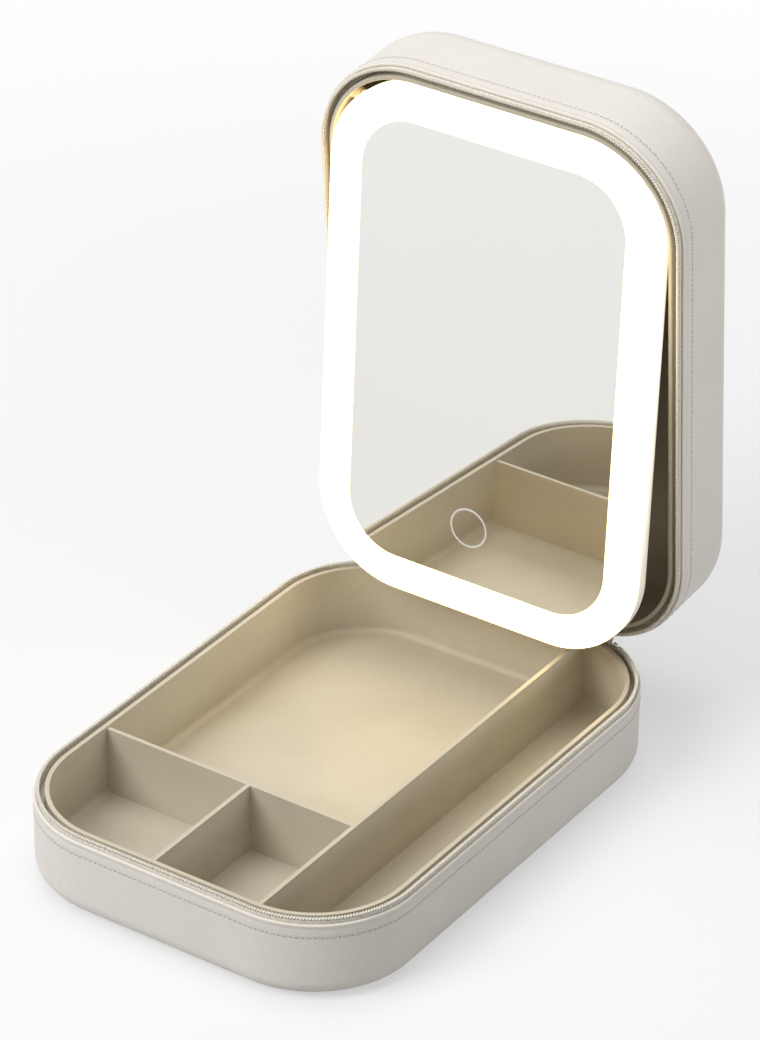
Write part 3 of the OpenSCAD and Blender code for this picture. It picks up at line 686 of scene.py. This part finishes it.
def stitches(name, body, height, place):
    """A row of stitches sunk into their groove. Each dips into the leather at both ends, with a needle hole
    between it and the next, capped with a dark patch of painted shade."""
    path = outline(0.0, step=0.8)
    total = path[-1][2]
    count = int(total / STITCH_PITCH)
    bm = bmesh.new()
    hole_shades = bmesh.new()
    for i in range(count):
        mid = (i + 0.5) * total / count
        thread = []
        for k in range(STITCH_POINTS):
            t = k / (STITCH_POINTS - 1)
            p, n, _ = along(path, mid + (t - 0.5) * STITCH_L)
            dip = (2 * t - 1) ** 4 * STITCH_DIP
            thread.append(p - n * (STITCH_SUNK + dip) + upright(height + (t - 0.5) * STITCH_SLANT))
        tube(bm, thread, THREAD_R, 8, place)
        p, n, d = along(path, i * total / count)
        rim = [vert(hole_shades, place, p + n * HOLE_PROUD + d * (HOLE_HALF_L * math.cos(a))
                    + upright(height + HOLE_HALF_H * math.sin(a))) for a in circle(HOLE_POINTS)]
        foot = vert(hole_shades, place, p - n * HOLE_DEPTH + upright(height))
        for k in range(HOLE_POINTS):
            hole_shades.faces.new((rim[k], rim[(k + 1) % HOLE_POINTS], foot))
        hole_shades.faces.new(list(reversed(rim)))
    piece(name + "_holes", hole_shades, body, MATS["needle_hole_shade"], smooth=False)
    piece(name, bm, body, MATS["thread"])


stitches("base_edge_stitches", "base", BASE_H - STITCH_DROP, REST)
stitches("lid_edge_stitches", "lid", LID_RIM + STITCH_DROP, LID)


# ---------------------------------------------------------------- floor and light

ROOM_TINT, ROOM_LIGHT = (0.97, 0.98, 1.0, 1), 0.34
# The floor's radius, its gap under the case, and where it starts and ends to fade to white, in metres
FLOOR_R, FLOOR_GAP = 3.0, 0.0004
FADE_FROM, FADE_TO = 0.3, 0.85


def studio_world():
    """Soft room light on the object, and plain white for the rays that show the background."""
    world = bpy.data.worlds.new("studio")
    bpy.context.scene.world = world
    world.use_nodes = True
    tree = world.node_tree
    tree.nodes.clear()
    room = add(tree, "Background", {"Color": ROOM_TINT, "Strength": ROOM_LIGHT})
    white = add(tree, "Background", {"Color": WHITE, "Strength": 1.0})
    background = seen_by(tree, "Is Camera Ray", "Is Glossy Ray", "Is Transmission Ray")
    mix = add(tree, "MixShader", {0: background, 1: room.outputs[0], 2: white.outputs[0]})
    add(tree, "OutputWorld", {0: mix.outputs[0]})


def floor_paint():
    """Grey for the light it throws back. Seen, it is pale with the object's shadow, and white far off."""
    paint = bpy.data.materials.new("studio_floor_paint")
    paint.use_nodes = True
    tree = paint.node_tree
    tree.nodes.clear()
    plain = add(tree, "BsdfDiffuse", {"Color": grey(0.5)})
    shaded = add(tree, "BsdfDiffuse", {"Color": grey(0.4)})
    glow = add(tree, "Emission", {"Strength": 0.5})
    near = add(tree, "AddShader", {0: shaded.outputs[0], 1: glow.outputs[0]})
    far = add(tree, "Emission", {"Strength": 1.0})
    away = add(tree, "VectorMath", {0: add(tree, "TexCoord").outputs["Object"]}, operation="LENGTH")
    fade = add(tree, "MapRange", {"Value": away.outputs["Value"], "From Min": FADE_FROM, "From Max": FADE_TO},
               interpolation_type="SMOOTHSTEP")
    seen = add(tree, "MixShader", {0: fade.outputs[0], 1: near.outputs[0], 2: far.outputs[0]})
    rays = seen_by(tree, "Is Camera Ray", "Is Glossy Ray")
    mix = add(tree, "MixShader", {0: rays, 1: plain.outputs[0], 2: seen.outputs[0]})
    add(tree, "OutputMaterial", {"Surface": mix.outputs[0]})
    return paint


def studio_floor():
    bm = bmesh.new()
    bmesh.ops.create_circle(bm, cap_ends=True, radius=FLOOR_R, segments=96)
    me = bpy.data.meshes.new("studio_floor")
    bm.to_mesh(me)
    bm.free()
    me.materials.append(floor_paint())
    ob = add_object("studio_floor", me)
    ob.location = (0, 0, -FLOOR_GAP)


def softbox(name, at, aim, side, power, glossy=True, spread=180):
    """A square lamp in metres and watts. Where glossy is off, it leaves no highlight of its own."""
    li = bpy.data.lights.new(name, "AREA")
    li.size = side
    li.energy = power
    li.spread = math.radians(spread)
    ob = add_object(name, li)
    ob.location = at
    ob.rotation_euler = (Vector(aim) - Vector(at)).to_track_quat("-Z", "Y").to_euler()
    ob.visible_glossy = glossy


studio_world()
studio_floor()
softbox("key_softbox", (-0.82, -1.52, 1.55), (0, 0.02, 0.08), 1.2, 33.5, glossy=False)
softbox("top_softbox", (-0.3, 0.1, 2.2), (0, 0, 0.1), 1.5, 20)
softbox("right_fill", (1.05, 0.15, 0.36), (0.08, 0.11, 0.22), 0.4, 0.18, glossy=False, spread=32)


# ---------------------------------------------------------------- camera

# Fitted to the photograph: place in millimetres, turns in degrees, focal length in the photograph's pixels
CAM_AT = (904.86, -1325.28, 1098.72)
YAW, PITCH, ROLL, FOCAL_PX = 33.83, -31.0, -0.76, 4820.85
PHOTO_H, SENSOR = 1040.0, 36.0

facing = (Matrix.Rotation(math.radians(YAW), 3, "Z") @ Matrix.Rotation(math.radians(PITCH), 3, "X")
          @ Matrix.Rotation(math.radians(ROLL), 3, "Y"))
right, forward, up = facing.col
pose = Matrix((right, up, -forward)).transposed().to_4x4()
pose.translation = Vector(CAM_AT) * MM
cam = bpy.data.cameras.new("photo_camera")
cam.sensor_width = SENSOR
cam.lens = FOCAL_PX * SENSOR / PHOTO_H
cam.clip_start = 0.05
cam.clip_end = 20.0
cam_ob = add_object("photo_camera", cam)
cam_ob.matrix_world = pose
bpy.context.scene.camera = cam_ob
bpy.context.scene.view_settings.view_transform = "Standard"

bpy.context.view_layer.update()
